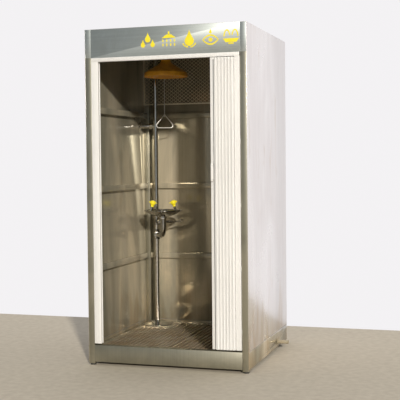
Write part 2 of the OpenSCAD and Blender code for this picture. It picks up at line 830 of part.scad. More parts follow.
module eyewash_valve() color(bright_steel) {
  unit(0, 0, eyewash_z) translate([0, -50.2, 0]) rotate([90, 0, 0]) pipe(branch_r, valve_reach - 22 - 50.4);
  unit(valve_reach, 0, eyewash_z) valve_body(20, 21.8, 34);
  unit(0, 0, eyewash_z) translate([0, -valve_reach - 22, 0]) rotate([90, 0, 0])
    pipe(branch_r, riser_reach - valve_reach - 22 - 14);
}

// Ball, stem, hub and rod turn together, with a flat loop to push down at the end
module push_lever() color(bright_steel) {
  loop_r = 18;
  loop_len = 34;
  loop_x = 148;
  wire = 4;
  unit(valve_reach, 0, eyewash_z) {
    difference() {
      sphere(r = 10.7);
      rotate([0, 90, 0]) translate([0, 0, -20]) cylinder(r = 5, h = 40);
    }
    rotate([0, 90, 0]) cylinder(r = 5, h = 40);
    translate([35, 0, 0]) rotate([0, 90, 0]) cylinder(r = 12, h = 54);
    translate([80, 0, 0]) rotate([0, 90, 0]) cylinder(r = 5.5, h = loop_x - loop_r - 80);
    translate([loop_x, 0, 0]) rotate([-15, 0, 0]) {
      rotate_extrude(angle = 180) translate([loop_r, 0]) circle(r = wire, $fn = 24);
      for (s = [-1, 1]) translate([s * loop_r, 0, 0]) rotate([90, 0, 0]) cylinder(r = wire, h = loop_len);
      translate([0, -loop_len, 0]) rotate([0, 0, 180])
        rotate_extrude(angle = 180) translate([loop_r, 0]) circle(r = wire, $fn = 24);
    }
  }
}

// A shallow spun dish with a rolled rim, open at the middle for the drain
// and behind it for the riser
module eyewash_bowl() color(bright_steel) {
  depth = 46;
  wall = 1.5;
  steps = 12;
  flat_r = 30;
  rim_r = 4;
  slope = bowl_r - rim_r - flat_r;
  outer = [for (i = [0:steps]) [flat_r + slope * i / steps, depth * (pow(i / steps, 1.7) - 1)]];
  inner = [for (i = [steps:-1:0]) outer[i] + [-0.4, wall]];
  unit(bowl_reach, 0, bowl_z) difference() {
    union() {
      rotate_extrude($fn = fine) polygon(concat([[12, -depth]], outer, inner, [[12, -depth + wall]]));
      rotate_extrude($fn = fine) translate([bowl_r - rim_r, 0]) circle(r = rim_r, $fn = 24);
    }
    translate([0, 0, -depth - 1]) cylinder(r = 18.3, h = 4);
    translate([0, bowl_reach - riser_reach, -depth - 5]) cylinder(r = branch_r + 0.5, h = depth);
  }
}

// The riser comes up behind the drain and splits into two arms inside the bowl
module nozzle_yoke() color(bright_steel) {
  run = bowl_reach - riser_reach;
  joint = 1.5;
  unit(riser_reach, 0, eyewash_z) {
    sphere(r = branch_r + 3);
    translate([0, branch_r + 3.2, 0]) rotate([90, 0, 0]) cylinder(r = branch_r + 2, h = branch_r + 3);
    cylinder(r = branch_r, h = yoke_z - eyewash_z);
  }
  unit(riser_reach, 0, yoke_z) {
    sphere(r = branch_r + 2);
    translate([-yoke_half, 0, 0]) rotate([0, 90, 0]) cylinder(r = yoke_r, h = 2 * yoke_half);
    for (s = [-1, 1]) translate([s * yoke_half, 0, 0]) {
      sphere(r = yoke_r + joint);
      rotate([90, 0, 0]) cylinder(r = yoke_r, h = run);
      translate([0, -run, 0]) {
        sphere(r = yoke_r + joint);
        rotate([0, -s * nozzle_tilt, 0]) cylinder(r = yoke_r, h = nozzle_lift);
      }
    }
  }
}

// Children are placed at the top of one riser, tilted towards the bowl's middle
module at_nozzle(s) {
  unit(bowl_reach, s * (yoke_half - nozzle_lift * sin(nozzle_tilt)), yoke_z + nozzle_lift * cos(nozzle_tilt))
    rotate([0, -s * nozzle_tilt, 0]) children();
}

// Tulip-shaped spray heads, each with two ears and a pin for its cap
nozzle_h = 32;
nozzle_r = 21;
ear_x = nozzle_r + 4.5;
cap_pin_r = 1.5;
ear_r = 2.8;
ear_t = 2;
ear_y = 5;
module eyewash_nozzles() color(cap_yellow) {
  stem = [[0, 0.5], [9, 0.5], [10, 8], [15, 16]];
  tulip = concat(stem, [[nozzle_r - 1, 25], [nozzle_r, nozzle_h], [0, nozzle_h]]);
  for (s = [-1, 1]) at_nozzle(s) {
    difference() {
      rotate_extrude() polygon(tulip);
      for (a = [0:60:300]) rotate(a) translate([9, 0, nozzle_h - 6]) cylinder(r = 1.5, h = 8, $fn = 16);
    }
    for (y = [-ear_y - ear_t, ear_y]) {
      translate([s > 0 ? 17 : -ear_x, y, nozzle_h - 5]) cube([ear_x - 17, ear_t, 5]);
      translate([s * ear_x, y, nozzle_h]) rotate([-90, 0, 0]) cylinder(r = ear_r, h = ear_t);
    }
    translate([s * ear_x, -ear_y - 1, nozzle_h]) rotate([-90, 0, 0])
      cylinder(r = cap_pin_r, h = 2 * ear_y + 2);
  }
}

// A domed cap with a lift tab inwards and a hinge knuckle outwards
module dust_cap(s) {
  skirt_h = 6;
  dome_h = 9;
  steps = 6;
  function swell(i) = nozzle_r * cos(i * 90 / steps) + 1 - i / steps;
  dome = [for (i = [1:steps]) [swell(i), skirt_h + dome_h * sin(i * 90 / steps)]];
  at_nozzle(s) difference() {
    union() {
      translate([0, 0, nozzle_h + 0.3]) rotate_extrude()
        polygon(concat([[0, 0], [nozzle_r + 1, 0], [nozzle_r + 1, skirt_h]], dome));
      translate([-s * (nozzle_r + 5) - 5, -6, nozzle_h + 1.3]) cube([10, 12, 3]);
      translate([s * (ear_x - 4) - 4, -4.8, nozzle_h + 0.3]) cube([8, 9.6, 2.9]);
      translate([s * ear_x, -4.8, nozzle_h]) rotate([-90, 0, 0]) cylinder(r = 3.2, h = 9.6);
    }
    translate([0, 0, nozzle_h - 1]) cylinder(r = nozzle_r - 3, h = 4);
    translate([s * ear_x, -6, nozzle_h]) rotate([-90, 0, 0]) cylinder(r = cap_pin_r + 0.05, h = 12);
  }
}

module dust_cap_left() color(cap_yellow) {
  dust_cap(-1);
}

module dust_cap_right() color(cap_yellow) {
  dust_cap(1);
}

corner_posts();
frame_rails();
wall_girts();
left_wall();
right_wall();
back_wall();
mesh_panel();
roof_panel();
header_panel();
front_sill();
base_skirts();
levelling_feet();
floor_tray();
floor_grating_left();
floor_grating_right();
drain_outlet();
door_track();
strike_jamb();
hinge_jamb();
lead_post();
door_pull();
slat(1);  // slat_01
slat(2);  // slat_02
slat(3);  // slat_03
slat(4);  // slat_04
slat(5);  // slat_05
slat(6);  // slat_06
slat(7);  // slat_07
slat(8);  // slat_08
slat(9);  // slat_09
slat(10);  // slat_10
slat(11);  // slat_11
slat(12);  // slat_12
floor_flange();
waste_pipe();
waste_tee();
waste_bend();
eyewash_tee();
supply_pipe();
inlet_tee();
inlet_pipe();
wall_rosette();
riser_pipe();
top_elbow();
shower_valve();
shower_valve_lever();
pull_rod();
pull_handle();
shower_arm();
shower_head();
shower_diffuser();
eyewash_valve();
push_lever();
eyewash_bowl();
bowl_drain();
nozzle_yoke();
eyewash_nozzles();
dust_cap_left();
dust_cap_right();
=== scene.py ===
"""Looks for the emergency safety shower booth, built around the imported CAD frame."""

import json
import math

import bmesh
import bpy
from mathutils import Matrix, Vector


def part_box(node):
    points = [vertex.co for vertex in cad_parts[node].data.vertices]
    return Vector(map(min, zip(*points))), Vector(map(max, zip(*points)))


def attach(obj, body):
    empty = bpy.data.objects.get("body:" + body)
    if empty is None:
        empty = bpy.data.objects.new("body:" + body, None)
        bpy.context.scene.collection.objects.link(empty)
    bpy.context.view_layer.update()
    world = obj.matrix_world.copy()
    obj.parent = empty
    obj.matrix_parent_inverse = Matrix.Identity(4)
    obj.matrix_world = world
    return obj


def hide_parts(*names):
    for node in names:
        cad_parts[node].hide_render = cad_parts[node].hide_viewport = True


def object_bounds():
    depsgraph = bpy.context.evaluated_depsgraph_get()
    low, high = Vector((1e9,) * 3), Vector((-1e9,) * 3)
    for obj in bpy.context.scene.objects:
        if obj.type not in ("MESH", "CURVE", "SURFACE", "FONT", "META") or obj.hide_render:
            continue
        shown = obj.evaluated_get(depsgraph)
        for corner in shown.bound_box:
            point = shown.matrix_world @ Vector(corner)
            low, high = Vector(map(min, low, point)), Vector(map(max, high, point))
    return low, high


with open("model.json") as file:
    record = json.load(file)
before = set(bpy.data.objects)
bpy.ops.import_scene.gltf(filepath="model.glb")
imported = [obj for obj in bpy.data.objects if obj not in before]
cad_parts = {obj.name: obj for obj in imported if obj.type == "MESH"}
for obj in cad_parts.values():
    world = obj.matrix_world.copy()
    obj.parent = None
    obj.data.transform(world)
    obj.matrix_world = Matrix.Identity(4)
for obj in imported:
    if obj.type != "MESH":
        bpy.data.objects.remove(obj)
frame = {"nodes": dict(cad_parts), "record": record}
cad_low, cad_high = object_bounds()
nodes = frame["nodes"]
record = frame["record"]
SLOT_OF = {part["node"]: part["material_slot"] for part in record["subparts"]}
BODY_OF = {node: body for body, members in record["behaviour"]["bodies"].items() for node in members}
MM = 0.001
FULL_TURN = 2 * math.pi


# ---------------------------------------------------------------- camera, light and floor


def add_camera():
    """The camera stands in front of the booth, to its right, and looks slightly down."""
    yaw = math.radians(17.48)
    pitch = math.radians(-2.26)
    roll = math.radians(-0.55)
    to_the_right, away, eye_height = 2.055, 5.782, 1.331
    stand = Vector((to_the_right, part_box("header_panel")[0].y - away, eye_height))
    data = bpy.data.cameras.new("camera")
    data.sensor_width = 36
    data.lens = 86.3
    camera = bpy.data.objects.new("camera", data)
    level = math.cos(pitch)
    forward = Vector((-math.sin(yaw) * level, math.cos(yaw) * level, math.sin(pitch)))
    right = Vector((math.cos(yaw), math.sin(yaw), 0))
    up = right.cross(forward)
    right, up = (
        right * math.cos(roll) + up * math.sin(roll),
        up * math.cos(roll) - right * math.sin(roll),
    )
    turn = Matrix((right, up, -forward)).transposed().to_4x4()
    camera.matrix_world = Matrix.Translation(stand) @ turn
    bpy.context.scene.collection.objects.link(camera)
    bpy.context.scene.camera = camera


def add_sun():
    """A low warm light from the front right, soft enough for a studio."""
    data = bpy.data.lights.new("key", "SUN")
    data.energy = 4.0
    data.angle = math.radians(2.5)
    data.color = (1.0, 0.93, 0.82)
    lamp = bpy.data.objects.new("key", data)
    towards_lamp = Vector((0.458, -0.827, 0.326))
    lamp.rotation_euler = (-towards_lamp).to_track_quat("-Z", "Y").to_euler()
    bpy.context.scene.collection.objects.link(lamp)


def add_sky():
    """White behind the booth and grey in front of it, so that the steel has something to reflect."""
    front_grey, back_white = (0.24, 0.26, 0.265, 1), (0.90, 0.885, 0.90, 1)
    world = bpy.data.worlds.new("studio")
    bpy.context.scene.world = world
    world.use_nodes = True
    tree = world.node_tree
    shade = tree.nodes["Background"]
    where = tree.nodes.new("ShaderNodeTexCoord")
    split = tree.nodes.new("ShaderNodeSeparateXYZ")
    tree.links.new(where.outputs["Generated"], split.inputs[0])
    side = tree.nodes.new("ShaderNodeMapRange")
    side.interpolation_type = "SMOOTHSTEP"
    side.inputs["From Min"].default_value = -0.25
    side.inputs["From Max"].default_value = 0.15
    tree.links.new(split.outputs["Y"], side.inputs["Value"])
    mix = tree.nodes.new("ShaderNodeMix")
    mix.data_type = "RGBA"
    mix.inputs["A"].default_value = front_grey
    mix.inputs["B"].default_value = back_white
    tree.links.new(side.outputs["Result"], mix.inputs["Factor"])
    tree.links.new(mix.outputs["Result"], shade.inputs["Color"])
    shade.inputs["Strength"].default_value = 1.0


def add_floor():
    """A pale floor that ends a little way behind the booth."""
    half_width, front, back = 14, -14, 1.25
    corners = ((-half_width, front), (half_width, front), (half_width, back), (-half_width, back))
    mesh = bpy.data.meshes.new("floor")
    build = bmesh.new()
    build.faces.new([build.verts.new((x, y, 0)) for x, y in corners])
    build.to_mesh(mesh)
    build.free()
    floor = bpy.data.objects.new("floor", mesh)
    bpy.context.scene.collection.objects.link(floor)
    stuff, tree, shader = new_material("pale_floor")
    dark, light = (0.42, 0.375, 0.305), (0.49, 0.445, 0.365)
    tint = ramp(tree, noise(tree, scale=22, detail=8), [(0.3, dark), (0.7, light)])
    tree.links.new(tint, shader.inputs["Base Color"])
    shader.inputs["Roughness"].default_value = 0.9
    mesh.materials.append(stuff)


# ---------------------------------------------------------------- materials


def new_material(name):
    stuff = bpy.data.materials.new(name)
    stuff.use_nodes = True
    return stuff, stuff.node_tree, stuff.node_tree.nodes["Principled BSDF"]


def place(tree, stretch=(1, 1, 1)):
    """Object coordinates, in metres, stretched by a factor along each axis."""
    where = tree.nodes.new("ShaderNodeTexCoord")
    mapping = tree.nodes.new("ShaderNodeMapping")
    mapping.inputs["Scale"].default_value = stretch
    tree.links.new(where.outputs["Object"], mapping.inputs["Vector"])
    return mapping.outputs["Vector"]


def noise(tree, scale=1, detail=4, stretch=(1, 1, 1), distortion=0):
    texture = tree.nodes.new("ShaderNodeTexNoise")
    texture.inputs["Scale"].default_value = scale
    texture.inputs["Detail"].default_value = detail
    texture.inputs["Distortion"].default_value = distortion
    tree.links.new(place(tree, stretch), texture.inputs["Vector"])
    return texture.outputs["Fac"]


def ramp(tree, value, stops):
    """A colour for each value; the two stops are (position, colour)."""
    node = tree.nodes.new("ShaderNodeValToRGB")
    for i, (position, colour) in enumerate(stops):
        element = node.color_ramp.elements[i]
        element.position = position
        element.color = (*colour, 1)
    tree.links.new(value, node.inputs["Fac"])
    return node.outputs["Color"]


def spread(tree, value, low, high, start=0.3, end=0.7):
    """value, from start to end, stretched to low to high."""
    node = tree.nodes.new("ShaderNodeMapRange")
    node.inputs["From Min"].default_value = start
    node.inputs["From Max"].default_value = end
    node.inputs["To Min"].default_value = low
    node.inputs["To Max"].default_value = high
    tree.links.new(value, node.inputs["Value"])
    return node.outputs["Result"]


def multiply(tree, colour, factor):
    """A colour made lighter or darker by a grey value."""
    node = tree.nodes.new("ShaderNodeMix")
    node.data_type = "RGBA"
    node.blend_type = "MULTIPLY"
    node.inputs["Factor"].default_value = 1.0
    tree.links.new(colour, node.inputs["A"])
    tree.links.new(factor, node.inputs["B"])
    return node.outputs["Result"]


def bump(tree, shader, height, strength, depth, under=None):
    node = tree.nodes.new("ShaderNodeBump")
    node.inputs["Strength"].default_value = strength
    node.inputs["Distance"].default_value = depth
    tree.links.new(height, node.inputs["Height"])
    if under is not None:
        tree.links.new(under, node.inputs["Normal"])
    tree.links.new(node.outputs["Normal"], shader.inputs["Normal"])
    return node.outputs["Normal"]


def stain(tree):
    """Brownish splash marks that thin out above the booth's foot."""
    where = tree.nodes.new("ShaderNodeSeparateXYZ")
    tree.links.new(place(tree), where.inputs[0])
    nearness = spread(tree, where.outputs["Z"], 0.30, 0.0, start=0.02, end=0.55)
    splash = noise(tree, scale=7, detail=7, stretch=(1, 1, 0.35), distortion=0.6)
    marks = tree.nodes.new("ShaderNodeMath")
    marks.operation = "ADD"
    tree.links.new(nearness, marks.inputs[0])
    tree.links.new(splash, marks.inputs[1])
    clean, brown = (1.0, 1.0, 1.0), (0.80, 0.72, 0.62)
    return ramp(tree, marks.outputs[0], [(0.62, clean), (0.86, brown)])


def steel(name, dark, light, rough, grain=(300, 300, 1.2), metallic=1.0, patch=2.6,
          run=(1, 1, 1), waviness=0.25, splashed=True):
    """Stainless sheet: brushing along the grain, smudges along the run, and the slight waviness
    of thin sheet. A stretch is small along the axis that the marks follow."""
    stuff, tree, shader = new_material(name)
    shader.inputs["Metallic"].default_value = metallic
    blotch = noise(tree, scale=patch, detail=6, stretch=run, distortion=1.2)
    streak = noise(tree, scale=1, detail=5, stretch=grain)
    tint = ramp(tree, blotch, [(0.34, dark), (0.66, light)])
    tint = multiply(tree, tint, spread(tree, streak, 0.86, 1.0))
    if splashed:
        tint = multiply(tree, tint, stain(tree))
    tree.links.new(tint, shader.inputs["Base Color"])
    tree.links.new(spread(tree, blotch, rough + 0.08, rough - 0.04), shader.inputs["Roughness"])
    wave = None
    if waviness:
        wave = bump(tree, shader, noise(tree, scale=1.5, detail=1), waviness, 0.01)
    bump(tree, shader, streak, 0.05, 0.0004, under=wave)
    return stuff


def polished(name, tint, rough):
    """Polished pipework, with water marks and faint turning lines."""
    stuff, tree, shader = new_material(name)
    shader.inputs["Metallic"].default_value = 1.0
    marks = noise(tree, scale=35, detail=6, distortion=0.4)
    dark = tuple(0.8 * c for c in tint)
    tree.links.new(ramp(tree, marks, [(0.35, dark), (0.6, tint)]), shader.inputs["Base Color"])
    tree.links.new(spread(tree, marks, rough + 0.10, rough), shader.inputs["Roughness"])
    bump(tree, shader, noise(tree, scale=1, detail=2, stretch=(40, 40, 900)), 0.04, 0.0003)
    return stuff


def pvc(name, tint):
    """Extruded PVC: satin, faintly streaked along its length."""
    stuff, tree, shader = new_material(name)
    streak = noise(tree, scale=1, detail=4, stretch=(160, 160, 1.5))
    grime = noise(tree, scale=3, detail=6)
    shade = tuple(0.93 * c for c in tint)
    tone = ramp(tree, streak, [(0.3, shade), (0.6, tint)])
    tree.links.new(multiply(tree, tone, spread(tree, grime, 0.94, 1.0)), shader.inputs["Base Color"])
    tree.links.new(spread(tree, streak, 0.45, 0.36), shader.inputs["Roughness"])
    shader.inputs["Subsurface Weight"].default_value = 0.35
    shader.inputs["Subsurface Scale"].default_value = 0.012
    shader.inputs["Subsurface Radius"].default_value = (1.0, 0.97, 0.92)
    bump(tree, shader, noise(tree, scale=1, detail=2, stretch=(500, 500, 8)), 0.05, 0.0003)
    return stuff


def moulded(name, tint, deep, rough):
    """Moulded plastic with a fine orange-peel skin."""
    stuff, tree, shader = new_material(name)
    cloud = noise(tree, scale=18, detail=5)
    tree.links.new(ramp(tree, cloud, [(0.35, deep), (0.6, tint)]), shader.inputs["Base Color"])
    tree.links.new(spread(tree, cloud, rough + 0.1, rough), shader.inputs["Roughness"])
    bump(tree, shader, noise(tree, scale=900, detail=2), 0.08, 0.0002)
    shader.inputs["Coat Weight"].default_value = 0.3
    shader.inputs["Coat Roughness"].default_value = 0.15
    return stuff


def rubber(name):
    stuff, tree, shader = new_material(name)
    grit = noise(tree, scale=400, detail=4)
    tint = ramp(tree, grit, [(0.3, (0.012, 0.012, 0.012)), (0.7, (0.035, 0.034, 0.032))])
    tree.links.new(tint, shader.inputs["Base Color"])
    shader.inputs["Roughness"].default_value = 0.75
    bump(tree, shader, grit, 0.2, 0.0003)
    return stuff


UPRIGHT_BANDS = (1, 1, 0.22)
LONG_SMUDGES = (1, 1, 0.4)
ALONG_X = (1.2, 300, 300)
ALONG_Y = (300, 1.2, 300)

SLOT_LOOKS = {
    "stainless_frame": steel(
        "frame_steel", (0.36, 0.35, 0.285), (0.54, 0.52, 0.43), 0.36, splashed=False),
    # The sheet steel is a darker, browner copy of the outer wall steel: painted shade of the booth's
    # inside.
    "stainless_sheet": steel(
        "sheet_steel_painted_shade", (0.29, 0.28, 0.22), (0.62, 0.55, 0.42), 0.12, metallic=0.4,
        run=UPRIGHT_BANDS),
    "polished_steel": polished("polished_steel", (0.86, 0.85, 0.83), 0.05),
    "pvc_white": pvc("white_pvc", (0.76, 0.755, 0.75)),
    "shower_yellow": moulded("orange_yellow_plastic", (0.95, 0.47, 0.04), (0.80, 0.36, 0.025), 0.28),
    "cap_yellow": moulded("bright_yellow_plastic", (0.90, 0.80, 0.03), (0.82, 0.70, 0.02), 0.3),
    "rubber_black": rubber("black_rubber"),
}
HEADER_STEEL = steel(
    "header_steel", (0.50, 0.545, 0.545), (0.70, 0.75, 0.75), 0.40,
    grain=ALONG_X, patch=4, waviness=0.05, splashed=False)
# A paler, whiter copy of the wall steel for the outward faces: painted reflection of the bright
# surroundings.
OUTER_STEEL_PAINTED_REFLECTION = steel(
    "outer_wall_steel_painted_reflection", (0.84, 0.80, 0.79), (0.93, 0.90, 0.89), 0.28,
    metallic=0.85, run=LONG_SMUDGES, waviness=0)
GRATE_STEEL = steel(
    "grating_steel", (0.40, 0.34, 0.26), (0.55, 0.48, 0.38), 0.42, grain=ALONG_Y, metallic=0.6)
BRIGHT_WIRE = steel("bright_wire", (0.70, 0.69, 0.66), (0.88, 0.87, 0.84), 0.30, metallic=0.55)
MESH_STEEL = steel("mesh_steel", (0.62, 0.55, 0.42), (0.86, 0.78, 0.62), 0.38, metallic=0.5)
# A darker copy of the polished steel for the bowl and the fittings under it and at the floor: painted
# shade.
SHADED_POLISH_PAINTED = polished("polished_steel_painted_shade", (0.50, 0.49, 0.47), 0.05)
SYMBOL_FILM = moulded("yellow_film", (0.78, 0.67, 0.025), (0.68, 0.56, 0.02), 0.45)
SEALANT = moulded("grey_sealant", (0.16, 0.15, 0.13), (0.11, 0.10, 0.09), 0.55)
LOOK_OF = {
    "header_panel": HEADER_STEEL,
    "floor_grating_left": GRATE_STEEL,
    "floor_grating_right": GRATE_STEEL,
    "mesh_panel": MESH_STEEL,
    "eyewash_bowl": SHADED_POLISH_PAINTED,
    "waste_bend": SHADED_POLISH_PAINTED,
    "waste_tee": SHADED_POLISH_PAINTED,
    "eyewash_tee": SHADED_POLISH_PAINTED,
    "floor_flange": SHADED_POLISH_PAINTED,
    "pull_handle": BRIGHT_WIRE,
    "pull_rod": BRIGHT_WIRE,
}


def look_of(node):
    return LOOK_OF.get(node, SLOT_LOOKS[SLOT_OF[node]])


def dress_nodes():
    """Every CAD node gets its look; the nodes that no piece replaces are seen in it."""
    for name, node in nodes.items():
        node.data.materials.clear()
        node.data.materials.append(look_of(name))


# ---------------------------------------------------------------- making pieces


def new_piece(name, build, material, body, slot, *stands_for):
    """Turns a bmesh into a piece that rides on a body and may stand for CAD nodes."""
    smooth_below = math.radians(29)
    mesh = bpy.data.meshes.new(name)
    bmesh.ops.recalc_face_normals(build, faces=build.faces)
    build.to_mesh(mesh)
    build.free()
    mesh.shade_smooth()
    mesh.set_sharp_from_angle(angle=smooth_below)
    mesh.materials.append(material)
    piece = bpy.data.objects.new(name, mesh)
    bpy.context.scene.collection.objects.link(piece)
    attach(piece, body)
    if stands_for:
        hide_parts(*stands_for)
    return piece


def soften(node, width):
    """A copy of a CAD node with its sharp edges rounded, which stands for the node."""
    flat_below = math.radians(0.6)
    sharp_above = math.radians(35)
    build = bmesh.new()
    build.from_mesh(nodes[node].data)
    bmesh.ops.remove_doubles(build, verts=build.verts, dist=1e-6)
    bmesh.ops.dissolve_limit(
        build, angle_limit=flat_below, verts=build.verts, edges=build.edges, delimit={"NORMAL"})
    sharp = [
        edge for edge in build.edges
        if edge.is_manifold and edge.calc_face_angle(0) > sharp_above and edge.calc_length() > 2 * width
    ]
    bmesh.ops.bevel(
        build, geom=sharp, offset=width, segments=2, profile=0.5, affect="EDGES", clamp_overlap=True)
    piece = new_piece("soft_" + node, build, look_of(node), BODY_OF[node], SLOT_OF[node], node)
    # Shell panels get the paler copy of the steel on their outside: painted reflection.
    if node in SHELL:
        paint_outside_paler(piece)


def paint_outside_paler(piece):
    """The outward faces of a shell panel get a paler copy of the steel: a painted reflection of the
    bright surroundings, against the darker painted shade of the inside.
    """
    middle = (cad_low + cad_high) / 2
    piece.data.materials.append(OUTER_STEEL_PAINTED_REFLECTION)
    for face in piece.data.polygons:
        if face.normal.dot(face.center - middle) > 0:
            face.material_index = 1


def add_block(build, low, high):
    """Adds one box to a bmesh, from corner to corner."""
    low, high = Vector(low), Vector(high)
    where = Matrix.Translation((low + high) / 2) @ Matrix.Diagonal((*(high - low), 1))
    bmesh.ops.create_cube(build, size=1, matrix=where)


def add_sized_block(build, where, size):
    """Adds one box to a bmesh, round the middle of a frame."""
    bmesh.ops.create_cube(build, size=1, matrix=where @ Matrix.Diagonal((*size, 1)))


def in_mm(*points):
    """A profile or an outline written in millimetres, turned into metres."""
    return [(a * MM, b * MM) for a, b in points]


def lathe(build, profile, where=Matrix(), segments=64, closed=True):
    """Turns a profile of (radius, height) round Z; points on the axis become poles."""
    rings = []
    for radius, height in profile:
        if radius < 1e-7:
            rings.append([build.verts.new(where @ Vector((0, 0, height)))] * segments)
        else:
            ring = []
            for i in range(segments):
                angle = FULL_TURN * i / segments
                ring.append(build.verts.new(
                    where @ Vector((radius * math.cos(angle), radius * math.sin(angle), height))))
            rings.append(ring)
    pairs = list(zip(rings, rings[1:]))
    if closed:
        pairs.append((rings[-1], rings[0]))
    for lower, upper in pairs:
        for i in range(segments):
            j = (i + 1) % segments
            corners = []
            for vert in (lower[i], lower[j], upper[j], upper[i]):
                if vert not in corners:
                    corners.append(vert)
            if len(corners) > 2:
                build.faces.new(corners)


def arc(centre, radius, start, end, steps):
    """Points (radius, height) along an arc, angles in degrees."""
    points = []
    for i in range(steps + 1):
        angle = math.radians(start + (end - start) * i / steps)
        points.append((centre[0] + radius * math.cos(angle), centre[1] + radius * math.sin(angle)))
    return points


def sweep(build, path, radius, segments):
    """A round rod along a level path of points, closed at both ends."""
    path = [Vector(point) for point in path]
    up = Vector((0, 0, 1))
    rings = []
    for i, point in enumerate(path):
        ahead = path[min(i + 1, len(path) - 1)] - path[max(i - 1, 0)]
        side = ahead.cross(up).normalized()
        ring = []
        for k in range(segments):
            angle = FULL_TURN * k / segments
            ring.append(build.verts.new(point + radius * (math.cos(angle) * side + math.sin(angle) * up)))
        rings.append(ring)
    skin(build, rings)


def skin(build, rings):
    """Joins each ring of corners to the next one, and closes both ends."""
    count = len(rings[0])
    for lower, upper in zip(rings, rings[1:]):
        for i in range(count):
            j = (i + 1) % count
            build.faces.new((lower[i], lower[j], upper[j], upper[i]))
    build.faces.new(rings[0])
    build.faces.new(rings[-1])


# ---------------------------------------------------------------- where the shower unit stands

UNIT_TURN = math.radians(33)
NOZZLE_TILT = math.radians(15)


def centre_of(node):
    low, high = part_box(node)
    return (low + high) / 2


PIPE = centre_of("riser_pipe")
UNIT = Matrix.Translation((PIPE.x, PIPE.y, 0)) @ Matrix.Rotation(UNIT_TURN, 4, "Z")


def over(node, height):
    """A frame above a node's middle, at a height, turned with the shower unit."""
    middle = centre_of(node)
    return Matrix.Translation((middle.x, middle.y, height)) @ Matrix.Rotation(UNIT_TURN, 4, "Z")


# ---------------------------------------------------------------- mesh panel


def add_mesh_panel():
    """Expanded metal: zigzag strands that meet at flat knuckles, in a flat border."""
    low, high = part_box("mesh_panel")
    border, half_cell, cell_height = 10 * MM, 16.5 * MM, 26 * MM
    x0, x1 = low.x + border, high.x - border
    z0, z1 = low.z + border, high.z - border
    build = bmesh.new()
    for left, right in ((low.x, x0), (x1, high.x)):
        add_block(build, (left, low.y, low.z), (right, high.y, high.z))
    for bottom, top in ((low.z, z0), (z1, high.z)):
        add_block(build, (x0, low.y, bottom), (x1, high.y, top))
    rows = round((z1 - z0) / (cell_height / 2))
    rise = (z1 - z0) / rows / 2
    count = round((x1 - x0) / half_cell)
    pitch = (x1 - x0) / count
    middle_y = (low.y + high.y) / 2
    for row in range(rows):
        z_row = z0 + (2 * row + 1) * rise
        rings = []
        for k in range(count + 1):
            z = z_row + (rise if (k + row) % 2 else -rise)
            flat = 0.12 * pitch
            ends = (-flat, flat) if 0 < k < count else (0,)
            for step in ends:
                x = x0 + k * pitch + step
                rings.append(strand_ring(build, Vector((x, middle_y, z)), z0, z1))
        skin(build, rings)
    new_piece("expanded_mesh", build, MESH_STEEL, "cabin", SLOT_OF["mesh_panel"], "mesh_panel")


def strand_ring(build, point, bottom, top):
    """Four corners of a leaning strand round a point, kept between the border's edges."""
    half_thick, lean, tall = 0.9 * MM, 0.3 * MM, 2 * MM
    section = (
        (-half_thick - lean, -tall), (half_thick - lean, -tall),
        (half_thick + lean, tall), (-half_thick + lean, tall),
    )
    ring = []
    for dy, dz in section:
        z = min(max(point.z + dz, bottom), top)
        ring.append(build.verts.new((point.x, point.y + dy / 2, z)))
    return ring


def add_sealant():
    """A bead of sealant along the seam between the walls and the skirts, inside the booth."""
    half = 2 * MM
    seam_z = (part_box("base_skirts")[1].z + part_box("back_wall")[0].z) / 2
    side = -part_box("left_wall")[1].x
    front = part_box("front_sill")[1].y + half
    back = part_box("back_wall")[0].y - half / 2
    build = bmesh.new()
    for x in (-side, side):
        path = [(x, y, seam_z) for y in (front, (front + back) / 2, back)]
        sweep(build, path, half, segments=10)
    sweep(build, [(x, back, seam_z) for x in (-side, 0, side)], half, segments=10)
    new_piece("seam_sealant", build, SEALANT, "cabin", SLOT_OF["levelling_feet"])


# ---------------------------------------------------------------- pictograms on the header


def plate(build, outline, front):
    """A film cut to an outline of (x, z) points, with its back on the plane y = front."""
    film = 0.4 * MM
    near = [build.verts.new((x, front - film, z)) for x, z in outline]
    far = [build.verts.new((x, front, z)) for x, z in outline]
    build.faces.new(near)
    build.faces.new(list(reversed(far)))
    for i in range(len(near)):
        j = (i + 1) % len(near)
        build.faces.new((near[i], near[j], far[j], far[i]))


def moved(outline, x, z):
    return [(x + px, z + pz) for px, pz in outline]


def drop(x, z, size):
    """Outline of a drop: a round belly with a pointed top."""
    steps = 20
    belly = []
    for i in range(steps + 1):
        angle = math.radians(150 + 240 * i / steps)
        belly.append((math.cos(angle), math.sin(angle)))
    shape = belly + [(0.35, 1.35), (0, 2.3), (-0.35, 1.35)]
    return [(x + size * px, z + size * pz) for px, pz in shape]


def band(x, z, across, up, width, start, end):
    """Outline of a curved stroke along part of an ellipse."""
    steps = 24
    outer, inner = [], []
    for i in range(steps + 1):
        angle = math.radians(start + (end - start) * i / steps)
        c, s = math.cos(angle), math.sin(angle)
        outer.append((x + (across + width / 2) * c, z + (up + width / 2) * s))
        inner.append((x + (across - width / 2) * c, z + (up - width / 2) * s))
    return outer + inner[::-1]


def disc(x, z, radius):
    steps = 28
    angles = [FULL_TURN * i / steps for i in range(steps)]
    return [(x + radius * math.cos(angle), z + radius * math.sin(angle)) for angle in angles]


def bar(x, z, wide, tall):
    half_wide, half_tall = wide / 2, tall / 2
    return [
        (x - half_wide, z - half_tall), (x + half_wide, z - half_tall),
        (x + half_wide, z + half_tall), (x - half_wide, z + half_tall),
    ]


